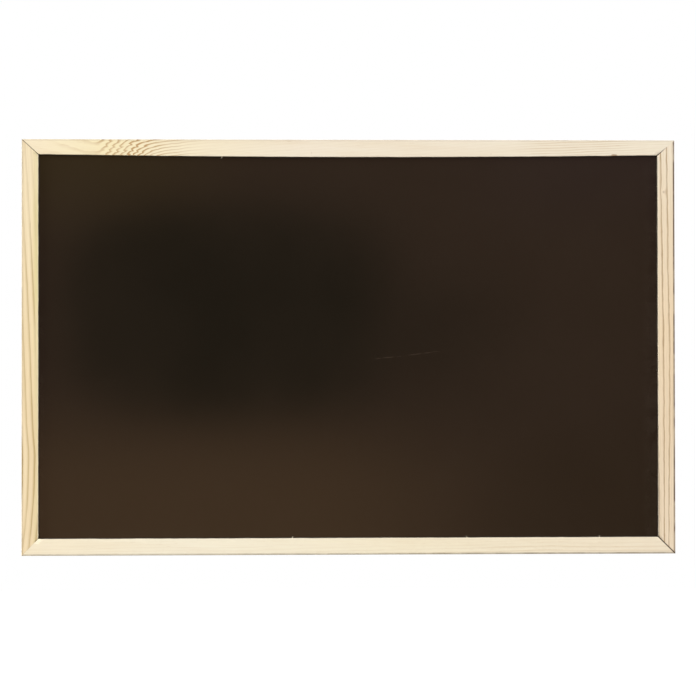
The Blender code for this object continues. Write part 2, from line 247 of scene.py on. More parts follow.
class Pine(Finish):
    """Bare planed pine, grown ring by ring round the batten that it is cut for."""

    def __init__(self, side, tones, shift):
        super().__init__(f"pine_{side}")
        self.spot = self.place()
        self.x, self.y, self.z = self.axes(self.spot)
        self.depth = (self.y - FRONT_Y) * MM_PER_METRE
        self.planed = PLANED[side]
        self.grain_along_x = side in ("top", "bottom")
        if self.grain_along_x:
            self.inside = BOARD_HEIGHT / 2 - (self.z - MIDDLE_Z) * OUTWARD[side][1]
        else:
            self.inside = HALF_WIDTH - self.x * OUTWARD[side][0]
        self.shift = shift
        self.colour = self.toned(tones)
        self.late_colour = LATE_WOOD
        self.level = 0.0
        self.late = 0.0
        self.joint = 0.0
        # How strong the painted shade on the outer edge and the painted highlight on the sight edge are,
        # set for each batten
        self.outer_shade = 0.0
        self.sight_highlight = 0.0
        for (rail, stile), line in MITRE_LINES.items():
            if side in (rail, stile):
                self.mitre(rail, stile, *line)

    def streaks(self, along, sideways, detail=2.0, roughness=0.5):
        """Noise drawn out along the grain, in patches per metre each way."""
        scale = (along, sideways, sideways) if self.grain_along_x else (sideways, sideways, along)
        return self.noise(self.stretched(self.spot, scale, shift=self.shift), 1.0, detail, roughness)

    def toned(self, tones):
        """The early wood's colour, by its place along the batten."""
        run = self.x if self.grain_along_x else self.z
        low, high = tones[0][0], tones[-1][0]
        stops = [((place - low) / (high - low), (*colour, 1.0)) for place, colour in tones]
        return self.node("ShaderNodeValToRGB", {"stops": stops}, {0: (run - low) / (high - low)})

    def rings(self, count, contrast, begins=0.45, sharp=0.92):
        """Adds late wood: each ring darkens slowly towards its end and then stops at once."""
        whole = count.math("FLOOR")
        part = count - whole
        season = self.node("ShaderNodeTexWhiteNoise", {"noise_dimensions": "1D"}, {"W": whole})
        late = self.step(part, begins, sharp) * self.step(part, sharp, 1.0, 1.0, 0.0)
        broken = self.streaks(25, 260, 3.0, 0.6)
        late = late * contrast * (season * 0.6 + 0.7) * self.step(broken, 0.25, 0.6, 0.72, 1.12)
        self.late = late + self.late

    def pin_knot(self, x, z, wide, high, strength):
        """A small dark branch end."""
        off_x, off_z = (self.x - x) / wide, (self.z - z) / high
        wander = self.noise(self.spot, 900.0, 2.0) * 0.5
        reach = (off_x * off_x + off_z * off_z).math("SQRT") + wander - 0.25
        heart = self.step(reach, 0.55, 1.05, strength, 0.0)
        self.colour = self.mix(heart, self.colour, KNOT_BROWN)
        self.level = self.level - heart * 0.6

    def mitre(self, rail, stile, inner, outer, reach):
        """The dark line of the joint at a corner, as strong as given at its inner and outer end."""
        from_x = HALF_WIDTH - self.x * OUTWARD[stile][0]
        from_z = BOARD_HEIGHT / 2 - (self.z - MIDDLE_Z) * OUTWARD[rail][1]
        long = math.hypot(PLANED[rail], PLANED[stile])
        off = (from_x * (PLANED[rail] / long) - from_z * (PLANED[stile] / long)).math("ABSOLUTE")
        strength = self.step(from_x, 0.001, PLANED[stile], outer, inner)
        near = self.step(off, reach * 0.45, reach, 1.0, 0.0) * strength
        self.joint = near.math("MAXIMUM", self.joint)

    def finish(self):
        """Lays the rings, fibres and resin lines over the early wood, then marks the edges: a painted
        highlight on the sight edge, painted shade on the outer edge and on the lips' inner sides, and the
        dark mitre lines.
        """
        colour = self.mix(self.late.math("MINIMUM", 0.95), self.colour, self.late_colour)
        broad = self.streaks(6, 70, 2.0)
        colour = self.mix(self.step(broad, 0.35, 0.75, 0.0, 0.16), colour, FIBRE_TINT)
        fine = self.streaks(26, 1300, 4.0, 0.65)
        colour = self.mix(self.step(fine, 0.46, 0.78, 0.0, 0.22), colour, FIBRE_TINT)
        resin = self.streaks(75, 2100, 1.0)
        lines = self.step(resin, 0.735, 0.775) * (self.late * 0.8 + 0.35)
        colour = self.mix(lines * 0.75, colour, self.late_colour)
        pale = self.streaks(40, 800, 2.0)
        colour = self.mix(self.step(pale, 0.58, 0.8, 0.0, 0.12), colour, PALE_FIBRE)
        # Painted highlight on the sight edge
        sight_highlight = self.step(self.inside, self.planed - SIGHT_HIGHLIGHT_REACH, self.planed) * self.sight_highlight
        colour = self.mix(sight_highlight, colour, SIGHT_EDGE_HIGHLIGHT)
        # Painted shade along the outer edge, uneven along its length
        patchy = self.step(self.streaks(70, 70, 3.0), 0.3, 0.65, 0.65, 1.1)
        outer_shade = self.step(self.inside, OUTER_SHADE_REACH * 0.6, OUTER_SHADE_REACH, 1.0, 0.0) * self.outer_shade * patchy
        outer_shade = outer_shade * self.step(self.depth, 0.9, 1.6, 1.0, 0.0)
        colour = self.mix(outer_shade, colour, OUTER_EDGE_SHADE)
        # Painted shade on the lips' inner sides
        lip_shade = self.step(self.inside, self.planed - LIP_SHADE_BEGINS, self.planed - LIP_SHADE_FULL)
        lip_shade = lip_shade * self.step(self.streaks(30, 500, 3.0), 0.3, 0.7, 0.84, 0.96)
        colour = self.mix(lip_shade * self.step(self.depth, 0.4, 1.0), colour, LIP_SHADE)
        colour = self.mix(self.joint, colour, MITRE_BROWN)
        ridges = fine * 0.5 + self.late * 0.9 - lines * 0.5 + self.level
        self.set(
            base_color=colour,
            roughness=0.62 - self.late * 0.14 + fine * 0.06,
            normal=self.bump(ridges, 0.35, 0.00025),
            specular_ior_level=0.35,
        )
        return self.material


# Left stile: where its arches come to a point, and where its figure begins and fades
LEFT_TONE_Z = height(330)
LEFT_POINT_X = across(34.0)
LEFT_POINT_Z = height(455)
LEFT_ARCHES_WEAKEN = height(390), height(320)
LEFT_ARCHES_FADE = height(275), height(200)
LEFT_ARCHES_FOOT = height(530), height(485)
LEFT_ARCH_SPACING_MM = 5.8
LEFT_PLAIN_INSIDE = across(33.2), across(35.6)
LEFT_PLAIN_ABOVE = height(440), height(420)
LEFT_OLIVE = (0.73, 0.64, 0.28)
LEFT_OLIVE_INSIDE = across(30.0), across(35.5)
LEFT_OLIVE_BEGINS = height(325), height(290)
LEFT_OLIVE_FADES = height(215), height(180)
LEFT_LATE_WOOD = (0.50, 0.36, 0.15)


def left_stile_pine():
    """Nested arches that lean in from the outer edge and come to a point below the middle."""
    wood = Pine(
        "left",
        [
            (BOTTOM_Z, (0.895, 0.725, 0.465)),
            (LEFT_TONE_Z, (0.905, 0.745, 0.475)),
            (TOP_Z, (0.915, 0.785, 0.54)),
        ],
        (3.1, 0.7, 0.2),
    )
    # Painted shade along the outer edge, and a painted highlight along the sight edge
    wood.outer_shade = 0.24
    wood.sight_highlight = 0.45
    olive = wood.step(wood.z, *LEFT_OLIVE_BEGINS, 0.38, 0.70)
    olive = olive * wood.step(wood.z, *LEFT_OLIVE_FADES, 1.0, 0.55)
    olive = olive * wood.step(wood.x, *LEFT_OLIVE_INSIDE)
    wood.colour = wood.mix(olive, wood.colour, LEFT_OLIVE)
    drift = wood.streaks(11, 60) - 0.5
    wiggle = wood.streaks(60, 200) - 0.5
    inward = (wood.x - LEFT_POINT_X) * MM_PER_METRE
    run = (wood.z - LEFT_POINT_Z) * MM_PER_METRE
    above, below = run.math("MAXIMUM", 0.0), run.math("MINIMUM", 0.0)
    nose = 1.25 - (above * above * -0.0028).math("EXPONENT") * 1.25
    arch = nose + above * 0.026 + above * above * 0.0000725 + below * below * 0.00072
    count = (inward + arch + wood.depth * 0.25) / LEFT_ARCH_SPACING_MM + drift * 0.15 + wiggle * 0.12
    strength = wood.step(wood.z, *LEFT_ARCHES_WEAKEN, 0.95, 0.62)
    strength = strength * wood.step(wood.z, *LEFT_ARCHES_FADE, 1.0, 0.40)
    strength = strength * wood.step(wood.z, *LEFT_ARCHES_FOOT, 0.75, 1.0)
    plain = wood.step(wood.x, *LEFT_PLAIN_INSIDE) * wood.step(wood.z, *LEFT_PLAIN_ABOVE)
    wood.late_colour = LEFT_LATE_WOOD
    wood.rings(count + 5.86, strength * (1 - plain * 0.85), 0.52)
    wood.rings(count * 2.0 + drift + 3.3, 0.10)
    return wood.finish()


# Right stile: where its lines run, lean and draw together, and where they swell round a small knot
RIGHT_TONE_Z = height(330)
RIGHT_LINE_X = across(661.7)
RIGHT_LEAN_BEGINS = height(170)
RIGHT_LINES_CLOSE = height(520), height(400)
RIGHT_LINE_SPACINGS_MM = 4.5, 5.7
RIGHT_LINES_END = across(670.6), across(671.8)
RIGHT_FINE_LINES_FADE = height(420), height(330)
RIGHT_LATE_WOOD = (0.45, 0.31, 0.175)
RIGHT_KNOT_X = across(663.2)
RIGHT_KNOT_Z = height(191.5)
RIGHT_KNOT_WIDE = 0.0011
RIGHT_KNOT_HIGH = 0.0015
RIGHT_SWELL_WIDE = 0.0022
RIGHT_SWELL_HIGH = 0.0050


def right_stile_pine():
    """Straight, thin lines down the length, a little closer together near the bottom."""
    wood = Pine(
        "right",
        [
            (BOTTOM_Z, (0.865, 0.72, 0.535)),
            (RIGHT_TONE_Z, (0.865, 0.69, 0.47)),
            (TOP_Z, (0.875, 0.765, 0.595)),
        ],
        (0.4, 5.1, 1.7),
    )
    wood.late_colour = RIGHT_LATE_WOOD
    # Painted shade along the outer edge, and a painted highlight along the sight edge
    wood.outer_shade = wood.step(wood.z, BOTTOM_Z, TOP_Z, 0.95, 1.0)
    wood.sight_highlight = 0.35
    drift = wood.streaks(14, 80) - 0.5
    wiggle = wood.streaks(75, 260, 3.0) - 0.5
    lean = ((RIGHT_LEAN_BEGINS - wood.z) * 12.5).math("MAXIMUM", -0.4).math("MINIMUM", 2.2)
    off_x = (wood.x - RIGHT_KNOT_X) / RIGHT_SWELL_WIDE
    off_z = (wood.z - RIGHT_KNOT_Z) / RIGHT_SWELL_HIGH
    swell = (0.0 - (off_x * off_x + off_z * off_z)).math("EXPONENT") * 0.30
    outward = (wood.x - RIGHT_LINE_X) * MM_PER_METRE - lean + wood.depth * 0.12
    spacing = wood.step(wood.z, *RIGHT_LINES_CLOSE, *RIGHT_LINE_SPACINGS_MM)
    count = outward / spacing + drift * 0.25 + wiggle * 0.30 + swell
    wood.rings(count + 9.06, wood.step(wood.x, *RIGHT_LINES_END, 0.88, 0.1), 0.60)
    between = wood.step(wood.z, *RIGHT_FINE_LINES_FADE, 0.20, 0.10)
    wood.rings(count * 2.0 + drift * 1.6 + 0.45, between, 0.60)
    wood.pin_knot(RIGHT_KNOT_X, RIGHT_KNOT_Z, RIGHT_KNOT_WIDE, RIGHT_KNOT_HIGH, 0.35)
    return wood.finish()


# Top rail: where its curls begin and fade out, its far lines, and its small knots
TOP_CURLED_TONE_X = across(110)
TOP_PALE_TONE_X = across(170)
TOP_PLAIN_TONE_X = across(300)
TOP_CURLS_X = across(97)
TOP_CURLS_Z = height(156)
TOP_CURLS_BEGIN = across(45), across(75)
TOP_CURLS_STRENGTHEN = across(90), across(106)
TOP_CURLS_FADE = across(140), across(214)
TOP_FAR_LINES_X = across(560)
TOP_FAR_LINES_BEGIN = across(505), across(550)
TOP_FAR_LINES_FADE = across(600), across(650)
TOP_FAR_LINE_SPACING_MM = 2.3

# Each small knot's X and Z, width, height and strength
TOP_KNOTS = (
    (across(613.5), height(154.6), 0.0036, 0.0012, 0.7),
    (across(309.5), height(152.8), 0.0006, 0.0016, 0.15),
    (across(489.5), height(153.5), 0.0006, 0.0012, 0.15),
)


def top_rail_pine():
    """Plain, but for a stretch left of the middle where the wood stands up in curls and fans out."""
    wood = Pine(
        "top",
        [
            (-HALF_WIDTH, (0.91, 0.785, 0.565)),
            (TOP_CURLED_TONE_X, (0.925, 0.81, 0.515)),
            (TOP_PALE_TONE_X, (0.93, 0.825, 0.595)),
            (TOP_PLAIN_TONE_X, (0.90, 0.80, 0.64)),
            (HALF_WIDTH, (0.87, 0.785, 0.625)),
        ],
        (0.9, 2.2, 6.4),
    )
    # Painted shade along the outer edge
    wood.outer_shade = 0.10
    upward = (wood.z - TOP_CURLS_Z) * MM_PER_METRE
    run = (wood.x - TOP_CURLS_X) * MM_PER_METRE
    wander = wood.noise(wood.spot, 70.0, 2.0) - 0.5
    middle = run - 30
    near = (middle * middle * -0.001).math("EXPONENT")
    wave = upward * 1.2 + wander * 11.0
    zigzag = (wave.math("SINE") + (wave * 2.0 + 1.0).math("SINE") * 0.4) * near * 1.25
    here = run + zigzag + wander * 4.0
    beyond = here - 51
    slant = (here * here + 34).math("SQRT") * 0.092 - (beyond * beyond + 134).math("SQRT") * 0.056
    close = wood.step(run, 20.0, 66.0, 0.105, 0.345)
    knotted = (middle - 7) * (middle - 7) * -0.012
    strength = wood.step(wood.x, *TOP_CURLS_STRENGTHEN, 0.24, 0.86) + knotted.math("EXPONENT") * 0.42
    strength = strength * wood.step(wood.x, *TOP_CURLS_BEGIN, 0.3, 1.0)
    strength = strength * wood.step(wood.x, *TOP_CURLS_FADE, 1.0, 0.05)
    count = (upward - 8.7) * close - slant + wood.depth * 0.1 + wander * 0.7
    wood.rings(count + 40.0, strength, 0.40, 0.84)
    rising = upward - (wood.x - TOP_FAR_LINES_X) * 38 + (wood.streaks(12, 60) - 0.5) * 2.5
    far = wood.step(wood.x, *TOP_FAR_LINES_BEGIN) * wood.step(wood.x, *TOP_FAR_LINES_FADE, 1.0, 0.25)
    wood.rings((rising + wood.depth * 0.2) / TOP_FAR_LINE_SPACING_MM + 12.2, far * 0.32)
    for knot in TOP_KNOTS:
        wood.pin_knot(*knot)
    return wood.finish()


# Bottom rail: where it is palest, and where its lines and the painted shade on its outer edge grow
# stronger
BOTTOM_PALE_TONE_X = across(190)
BOTTOM_WARM_TONE_X = across(400)
BOTTOM_OUTER_SHADE_GROWS = across(150), across(580)
BOTTOM_LINES_GROW = across(400), across(560)
BOTTOM_LINE_SPACING_MM = 3.4


def bottom_rail_pine():
    """Plain flat-cut wood, with a few faint lines that rise to the right."""
    wood = Pine(
        "bottom",
        [
            (-HALF_WIDTH, (0.92, 0.81, 0.595)),
            (BOTTOM_PALE_TONE_X, (0.955, 0.885, 0.70)),
            (BOTTOM_WARM_TONE_X, (0.94, 0.845, 0.63)),
            (HALF_WIDTH, (0.88, 0.77, 0.59)),
        ],
        (7.3, 1.4, 0.6),
    )
    # Painted shade along the outer edge, and a painted highlight along the sight edge
    wood.outer_shade = wood.step(wood.x, *BOTTOM_OUTER_SHADE_GROWS, 0.30, 0.55)
    wood.sight_highlight = 0.35
    drift = wood.streaks(7, 55) - 0.5
    upward = (wood.z - BOTTOM_Z) * MM_PER_METRE
    count = (upward - wood.x * 16 + wood.depth * 0.2) / BOTTOM_LINE_SPACING_MM + drift * 2.2 + 30.0
    faint = wood.step(wood.x, *BOTTOM_LINES_GROW, 0.07, 0.24) * wood.step(upward, 6.0, 11.0, 1.0, 0.35)
    wood.rings(count, faint)
    return wood.finish()


# Writing surface, with the ends of its scratch as X and Z
CHALKBOARD_DARK = (0.0118, 0.0086, 0.0050)
CHALKBOARD_WIPED = (0.0136, 0.0098, 0.0058)
CHALK_DUST = (0.034, 0.029, 0.024)
CHALK_SPECK = (0.06, 0.05, 0.04)
# Pale dust along the frame, which is also painted light that lifts the margins out of the lips' shadow
EDGE_DUST_AND_LIGHT = (0.045, 0.036, 0.026)
EDGE_DUST_AND_LIGHT_THINS = height(420), height(230)
SCRATCH_PALE = (0.085, 0.062, 0.043)
SCRATCH_LEFT = across(361), height(360)
SCRATCH_RIGHT = across(462), height(348)
SCRATCH_BOW = 0.0022
SCRATCH_CORE = 0.0002
SCRATCH_REACH = 0.0008

# How far dust and painted light reach from a batten's sight edge, and how strong they are there
DUST_AND_LIGHT_ALONG = {"left": (0.011, 0.24), "right": (0.018, 0.46), "bottom": (0.012, 0.10)}


def writing_surface():
    """Brown-black with a low sheen, wiped chalk, dust along the frame that is partly painted light, and
    one long scratch.
    """
    face = Finish("writing_surface")
    spot = face.place()
    x, _, z = face.axes(spot)
    haze = face.noise(spot, 9.0, 4.0, 0.55)
    dust = face.noise(spot, 420.0, 3.0, 0.7)
    colour = face.mix(face.step(haze, 0.3, 0.7), CHALKBOARD_DARK, CHALKBOARD_WIPED)
    colour = face.mix(face.step(dust, 0.35, 0.75, 0.0, 0.12), colour, CHALK_DUST)
    from_edge = {
        "left": x + (HALF_WIDTH - PLANED["left"]),
        "right": (HALF_WIDTH - PLANED["right"]) - x,
        "bottom": z - (BOTTOM_Z + PLANED["bottom"]),
    }
    # Dust along the frame and painted light: lightens the margins that the lips shade
    dust_and_light = 0.0
    for side, (reach, share) in DUST_AND_LIGHT_ALONG.items():
        dust_and_light = face.step(from_edge[side], 0.0, reach, share, 0.0).math("MAXIMUM", dust_and_light)
    dust_and_light_patches = face.step(face.noise(spot, 70.0, 4.0, 0.65), 0.32, 0.68, 0.15, 1.15)
    dust_and_light_patches = dust_and_light_patches * face.step(z, *EDGE_DUST_AND_LIGHT_THINS, 1.0, 0.5)
    colour = face.mix(dust_and_light * dust_and_light_patches, colour, EDGE_DUST_AND_LIGHT)
    (left_x, left_z), (right_x, right_z) = SCRATCH_LEFT, SCRATCH_RIGHT
    run = (x - left_x) / (right_x - left_x)
    bow = run * (run - 1) * SCRATCH_BOW
    off = (z - left_z - run * (right_z - left_z) - bow).math("ABSOLUTE")
    worn = face.noise(face.stretched(spot, (160, 160, 700)), 1.0, 2.0)
    scratch = face.step(off, SCRATCH_CORE, SCRATCH_REACH, 1.0, 0.0)
    scratch = scratch * face.step(run, 0.0, 0.2) * face.step(run, 0.55, 1.0, 1.0, 0.0)
    scratch = scratch * face.step(worn, 0.3, 0.65, 0.2, 1.0)
    colour = face.mix(scratch * 0.15, colour, SCRATCH_PALE)
    speck = face.step(face.cells(spot, 38.0), 0.007, 0.018, 1.0, 0.0) * face.step(worn, 0.45, 0.6)
    colour = face.mix(speck * 0.5, colour, CHALK_SPECK)
    grain = face.noise(spot, 900.0, 2.0)
    face.set(
        base_color=colour,
        roughness=face.step(haze, 0.25, 0.75, 0.125, 0.155) + scratch * 0.2,
        normal=face.bump(grain, 0.05, 0.00002),
    )
    return face.material


# Hardboard
BOARD_BROWN = (0.20, 0.105, 0.05)
BOARD_TAN = (0.27, 0.15, 0.078)
BOARD_FIBRE = (0.33, 0.20, 0.11)
BOARD_SHRED = (0.10, 0.05, 0.025)
WEAVE_RADIANS_PER_METRE = 4200


def hardboard():
    """Pressed brown fibre, with the weave of the press screen on its back."""
    board = Finish("hardboard_fibre")
    spot = board.place()
    x, _, z = board.axes(spot)
    cloud = board.noise(spot, 14.0, 3.0)
    fibre = board.noise(board.stretched(spot, (420, 420, 900), (0, 0.6, 0)), 1.0, 3.0, 0.7)
    shreds = board.noise(board.stretched(spot, (2200, 2200, 520), (0, -0.4, 0)), 1.0, 2.0)
    colour = board.mix(board.step(cloud, 0.3, 0.7), BOARD_BROWN, BOARD_TAN)
    colour = board.mix(board.step(fibre, 0.45, 0.75, 0.0, 0.6), colour, BOARD_FIBRE)
    colour = board.mix(board.step(shreds, 0.60, 0.74, 0.0, 0.5), colour, BOARD_SHRED)
    warp = (x * WEAVE_RADIANS_PER_METRE).math("SINE")
    weave = warp * (z * WEAVE_RADIANS_PER_METRE).math("SINE") * 0.35
    board.set(
        base_color=colour,
        roughness=board.step(fibre, 0.3, 0.7, 0.62, 0.85),
        normal=board.bump(weave + fibre * 0.8 + shreds * 0.4, 0.5, 0.0003),
        specular_ior_level=0.3,
    )
    return board.material


# Metal and rubber
ZINC_GREY = (0.52, 0.52, 0.51)
ZINC_BRIGHT = (0.70, 0.70, 0.67)
STRIP_GREY = (0.42, 0.41, 0.40)
STRIP_BRIGHT = (0.58, 0.57, 0.55)
STRIP_STAIN = (0.19, 0.11, 0.06)
RUBBER_PALE = (0.56, 0.55, 0.51)
RUBBER_DUSTY = (0.44, 0.43, 0.39)


def zinc_plate():
    """Bright zinc on steel, a little cloudy, with fine scratches."""
    plate = Finish("zinc_plating")
    spot = plate.place()
    cloud = plate.noise(spot, 260.0, 4.0, 0.6)
    scratch = plate.noise(plate.stretched(spot, (500, 500, 9000), (0.3, 0.9, 0.2)), 1.0, 1.0)
    colour = plate.mix(plate.step(cloud, 0.35, 0.7), ZINC_GREY, ZINC_BRIGHT)
    plate.set(
        base_color=colour,
        metallic=1.0,
        roughness=plate.step(cloud, 0.3, 0.7, 0.24, 0.40) + plate.step(scratch, 0.66, 0.72, 0.0, 0.15),
        normal=plate.bump(cloud * 0.6 - plate.step(scratch, 0.66, 0.72) * 0.5, 0.25, 0.0001),
    )
    return plate.material


def steel_strip():
    """Plain cut strip, rolled along its length, with a trace of brown where it was cut."""
    strip = Finish("steel_strip")
    spot = strip.place()
    rolled = strip.noise(strip.stretched(spot, (2600, 2600, 300)), 1.0, 3.0, 0.6)
    stain = strip.noise(spot, 420.0, 4.0, 0.65)
    colour = strip.mix(strip.step(rolled, 0.35, 0.7), STRIP_GREY, STRIP_BRIGHT)
    brown = strip.step(stain, 0.60, 0.75, 0.0, 0.6)
    colour = strip.mix(brown, colour, STRIP_STAIN)
    strip.set(
        base_color=colour,
        metallic=1.0 - brown * 0.6,
        roughness=0.30 + rolled * 0.16 + brown * 0.3,
        normal=strip.bump(rolled, 0.2, 0.0001),
    )
    return strip.material


def pale_rubber():
    """Soft grey-white rubber with a fine moulded grain."""
    rubber = Finish("pale_rubber")
    spot = rubber.place()
    grain = rubber.noise(spot, 2600.0, 2.0)
    dust = rubber.noise(spot, 300.0, 3.0)
    colour = rubber.mix(rubber.step(dust, 0.35, 0.75), RUBBER_PALE, RUBBER_DUSTY)
    rubber.set(
        base_color=colour,
        roughness=rubber.step(dust, 0.3, 0.7, 0.55, 0.75),
        normal=rubber.bump(grain, 0.25, 0.0001),
    )
    return rubber.material


# Modelling
NEAR = 0.00001
MERGE_WITHIN = NEAR / 5


@contextmanager
def editing(piece):
    """Edit mode on one piece, with all of it selected."""
    alone(piece)
    bpy.ops.object.mode_set(mode="EDIT")
    bpy.ops.mesh.select_mode(type="VERT")
    bpy.ops.mesh.select_all(action="SELECT")
    yield
    bpy.ops.object.mode_set(mode="OBJECT")


def alone(piece):
    """Selects one piece and makes it active."""
    bpy.ops.object.select_all(action="DESELECT")
    piece.select_set(True)
    bpy.context.view_layer.objects.active = piece


def pick(piece, kind, test):
    """Selects the vertices, edges or faces that pass a test."""
    bpy.ops.mesh.select_all(action="DESELECT")
    bpy.ops.mesh.select_mode(type=kind)
    shape = bmesh.from_edit_mesh(piece.data)
    parts = {"VERT": shape.verts, "EDGE": shape.edges, "FACE": shape.faces}[kind]
    for part in parts:
        part.select = test(part)
    shape.select_flush_mode()
    bmesh.update_edit_mesh(piece.data)


def begin(name, primitive, scale=(1, 1, 1), **options):
    """Adds a primitive with nothing else selected, and moves its size and place into its mesh."""
    bpy.ops.object.select_all(action="DESELECT")
    primitive(**options)
    made = bpy.context.object
    made.name = made.data.name = name
    made.scale = scale
    bpy.ops.object.transform_apply(location=True, rotation=True, scale=True)
    return made


def put(piece, place, turn=(0, 0, 0)):
    """Turns and moves a piece, and keeps its place in its mesh."""
    alone(piece)
    piece.rotation_euler = turn
    piece.location = place
    bpy.ops.object.transform_apply(location=True, rotation=True, scale=True)


def copied(piece, name):
    """A copy of a piece with a mesh of its own."""
    twin = bpy.data.objects.new(name, piece.data.copy())
    bpy.context.scene.collection.objects.link(twin)
    return twin


def apply(piece, kind, **settings):
    """Adds a modifier and applies it."""
    alone(piece)
    modifier = piece.modifiers.new(kind.lower(), kind)
    for name, setting in settings.items():
        setattr(modifier, name, setting)
    bpy.ops.object.modifier_apply(modifier=modifier.name)


def group(piece, name, weight):
    """A vertex group weighted by a function of each vertex's place."""
    made = piece.vertex_groups.new(name=name)
    for vertex in piece.data.vertices:
        share = weight(vertex.co)
        if share:
            made.add([vertex.index], share, "REPLACE")
    return name


def clouds(name, size, depth=2):
    """A soft noise for the Displace modifier, with patches of about a size."""
    made = bpy.data.textures.new(name, "CLOUDS")
    made.noise_scale = size
    made.noise_depth = depth
    return made


def done(piece, material, body, slot, *nodes, smooth_to=35):
    """Shades a piece smooth up to an angle, gives it its finish, and hands it over for its CAD nodes."""
    with editing(piece):
        bpy.ops.mesh.select_mode(type="EDGE")
        bpy.ops.mesh.select_all(action="DESELECT")
        bpy.ops.mesh.edges_select_sharp(sharpness=math.radians(smooth_to))
        bpy.ops.mesh.mark_sharp()
    bpy.ops.object.shade_smooth(keep_sharp_edges=True)
    apply(piece, "WEIGHTED_NORMAL", keep_sharp=True)
    piece.data.materials.clear()
    piece.data.materials.append(material)
    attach(piece, body)
    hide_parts(*nodes)


# Battens, with the neighbour at each batten's own first and second end
NEIGHBOURS = {
    "top": ("left", "right"),
    "bottom": ("right", "left"),
    "left": ("bottom", "top"),
    "right": ("top", "bottom"),
}
LENGTH_CUTS_PER_METRE = 420
OUTER_ARRIS = {"top": 0.0006, "bottom": 0.0009, "left": 0.0007, "right": 0.0013}
SIGHT_ARRIS = 0.0004
BACK_ARRIS = 0.0006
MITRE_OPENING = 0.00002
NAIL_SLOT_OPEN = 0.0006
NAIL_SLOT_CRUSH = 0.00010
EDGE_CLOUDS = clouds("edge_wander", 0.011, 3)
EDGE_WANDER = 0.00035
ARRIS_CLOUDS = clouds("arris_wander", 0.007, 3)
ARRIS_WEAR = 0.0004
ARRIS_WEAR_LEVEL = 0.85
BATTEN_SMOOTH_TO = 75

# Torn fibres on the sight edges: X, Z, whether each points up, and its lean in radians
FIBRE_LENGTH = 0.0032
FIBRE_ROOT = 0.0007
FIBRE_TIP = FIBRE_ROOT / 3
FIBRE_SET_BACK = 0.0010
TOP_FIBRES = [(across(220.0), height(157.0), False, 0.5)]
BOTTOM_FIBRES = [
    (across(290.2), height(537.3), True, 0.3),
    (across(464.6), height(537.4), True, -0.5),
    (across(597.5), height(537.6), True, 0.2),
]


def nail_slots(rail, stile):
    """Cutters for the slots that two V-nails leave in the back of a corner, a little crushed."""
    cutters = []
    for number in (1, 2):
        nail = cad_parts[f"mitre_nail_{rail}_{stile}_{number}"]
        cutter = copied(nail, "nail_slot")
        with editing(cutter):
            bpy.ops.mesh.remove_doubles(threshold=NEAR)
            bpy.ops.transform.translate(value=(0, NAIL_SLOT_OPEN, 0))
        apply(cutter, "DISPLACE", strength=NAIL_SLOT_CRUSH, mid_level=0.0)
        cutters.append(cutter)
    return cutters


def cut(piece, cutters):
    """Cuts the cutters out of a piece and removes them."""
    for cutter in cutters:
        apply(piece, "BOOLEAN", operation="DIFFERENCE", solver="EXACT", object=cutter)
        bpy.data.objects.remove(cutter)


def rebated_bar(name, side, length):
    """A bar along X, its outer edge at z = 0 and its face at FRONT_Y, cut to a mitre at each end."""
    planed = PLANED[side]
    land = planed * LAND_SHARE
    land_rise = (0, BATTEN_DEPTH - LIP_DEPTH, 0)
    bar = begin(
        name,
        bpy.ops.mesh.primitive_cube_add,
        size=1,
        location=(0, FRONT_Y + LIP_DEPTH / 2, -planed / 2),
        scale=(length, LIP_DEPTH, planed),
    )
    with editing(bar):
        bpy.ops.mesh.bisect(plane_co=(0, 0, -land), plane_no=(0, 0, 1))
        pick(bar, "FACE", lambda face: face.normal.y > 0.9 and face.calc_center_median().z > -land)
        bpy.ops.mesh.extrude_region_move(TRANSFORM_OT_translate={"value": land_rise})
        for y, z, width, segments in (
            (FRONT_Y, 0.0, OUTER_ARRIS[side], 4),
            (FRONT_Y, -planed, SIGHT_ARRIS, 4),
            (BACK_Y, 0.0, BACK_ARRIS, 3),
            (BACK_Y, -land, BACK_ARRIS, 3),
        ):
            corner = Vector((y, z))
            pick(bar, "EDGE", lambda edge: all((v.co.yz - corner).length < NEAR for v in edge.verts))
            bpy.ops.mesh.bevel(offset=width, segments=segments, profile=0.5, affect="EDGES")
        for end, neighbour in zip((-1, 1), NEIGHBOURS[side]):
            bpy.ops.mesh.select_all(action="SELECT")
            bpy.ops.mesh.bisect(
                plane_co=(end * (length / 2 - MITRE_OPENING), 0, 0),
                plane_no=Vector((end * planed, 0, -PLANED[neighbour])).normalized(),
                threshold=NEAR,
                use_fill=True,
                clear_outer=True,
            )
        pick(bar, "EDGE", lambda edge: abs(edge.verts[0].co.x - edge.verts[1].co.x) > length / 2)
        bpy.ops.mesh.subdivide(number_cuts=round(length * LENGTH_CUTS_PER_METRE))
    return bar


def torn_fibre(bar, x, z, upward, lean):
    """A fibre that stands off a sight edge, up or down."""
    fibre = begin(
        "fibre",
        bpy.ops.mesh.primitive_cone_add,
        vertices=7,
        radius1=FIBRE_ROOT,
        radius2=FIBRE_TIP,
        depth=FIBRE_LENGTH,
        location=(x, FRONT_Y + FIBRE_SET_BACK, z),
        rotation=(0 if upward else math.pi, lean, 0),
    )
    apply(bar, "BOOLEAN", operation="UNION", solver="EXACT", object=fibre)
    bpy.data.objects.remove(fibre)


